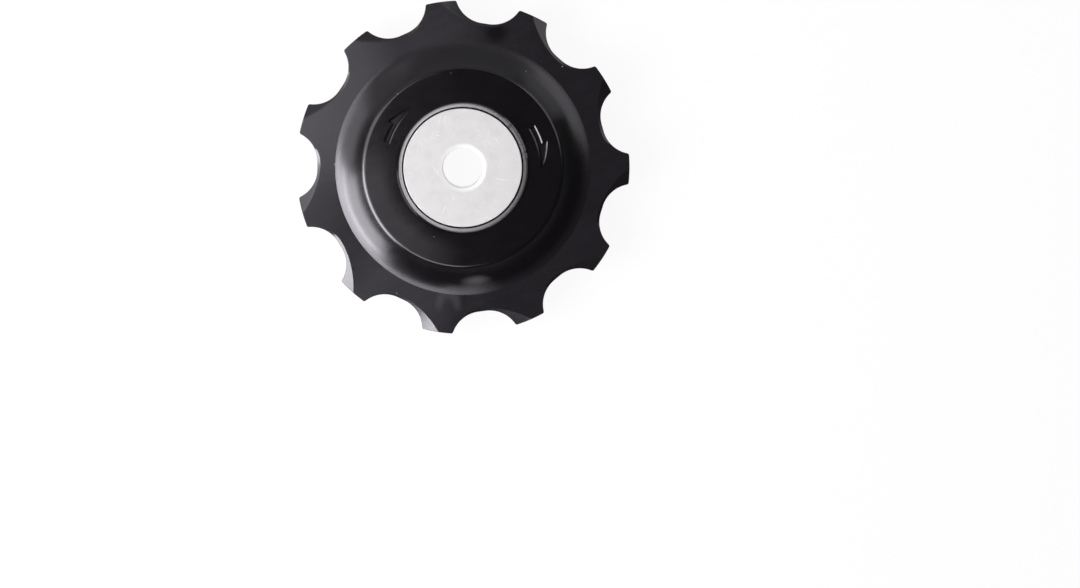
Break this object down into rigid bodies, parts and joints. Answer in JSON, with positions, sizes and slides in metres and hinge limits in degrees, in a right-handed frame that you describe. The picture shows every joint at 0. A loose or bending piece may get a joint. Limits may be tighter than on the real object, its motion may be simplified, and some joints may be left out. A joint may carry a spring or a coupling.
{
  "type": "derailleur jockey wheel",
  "caption": "Toothed pulley with bevelled teeth and a coved web that turns on a sealed ball bearing between two side caps and guides a bicycle chain in a rear derailleur.",
  "frame": {"origin": "on the axle's axis, in the middle plane of the teeth", "axes": "+Z along the axle, out of the marked face, which looks up; +X through the middle of a tooth"},
  "size_m": [0.0422, 0.0426, 0.008],
  "materials": {
    "black_plastic": "moulded, semi-gloss black",
    "satin_aluminium": "satin, lightly scratched",
    "bearing_steel": "ground and polished",
    "bush_steel": "turned",
    "cage_nylon": "moulded, natural colour",
    "seal_rubber": "matt black"
  },
  "bodies": {
    "axle": {"cap_front": "satin_aluminium", "cap_rear": "satin_aluminium", "axle_bush": "bush_steel", "bearing_inner_ring": "bearing_steel"},
    "wheel": {"pulley_wheel": "black_plastic", "bearing_outer_ring": "bearing_steel", "bearing_seal_front": "seal_rubber", "bearing_seal_rear": "seal_rubber"},
    "ball_set": {"bearing_cage": "cage_nylon", "bearing_ball_1": "bearing_steel", "bearing_ball_2": "bearing_steel", "bearing_ball_3": "bearing_steel", "bearing_ball_4": "bearing_steel", "bearing_ball_5": "bearing_steel", "bearing_ball_6": "bearing_steel", "bearing_ball_7": "bearing_steel"}
  },
  "joints": [
    {"name": "wheel_spin", "type": "hinge", "parent": "axle", "child": "wheel", "pos_m": [0, 0, 0], "axis": [0, 0, 1], "continuous": true},
    {"name": "ball_orbit", "type": "hinge", "parent": "axle", "child": "ball_set", "pos_m": [0, 0, 0], "axis": [0, 0, 1], "continuous": true}
  ],
  "couplings": [
    {"joint": "ball_orbit", "follows": "wheel_spin", "ratio": 0.59448}
  ]
}
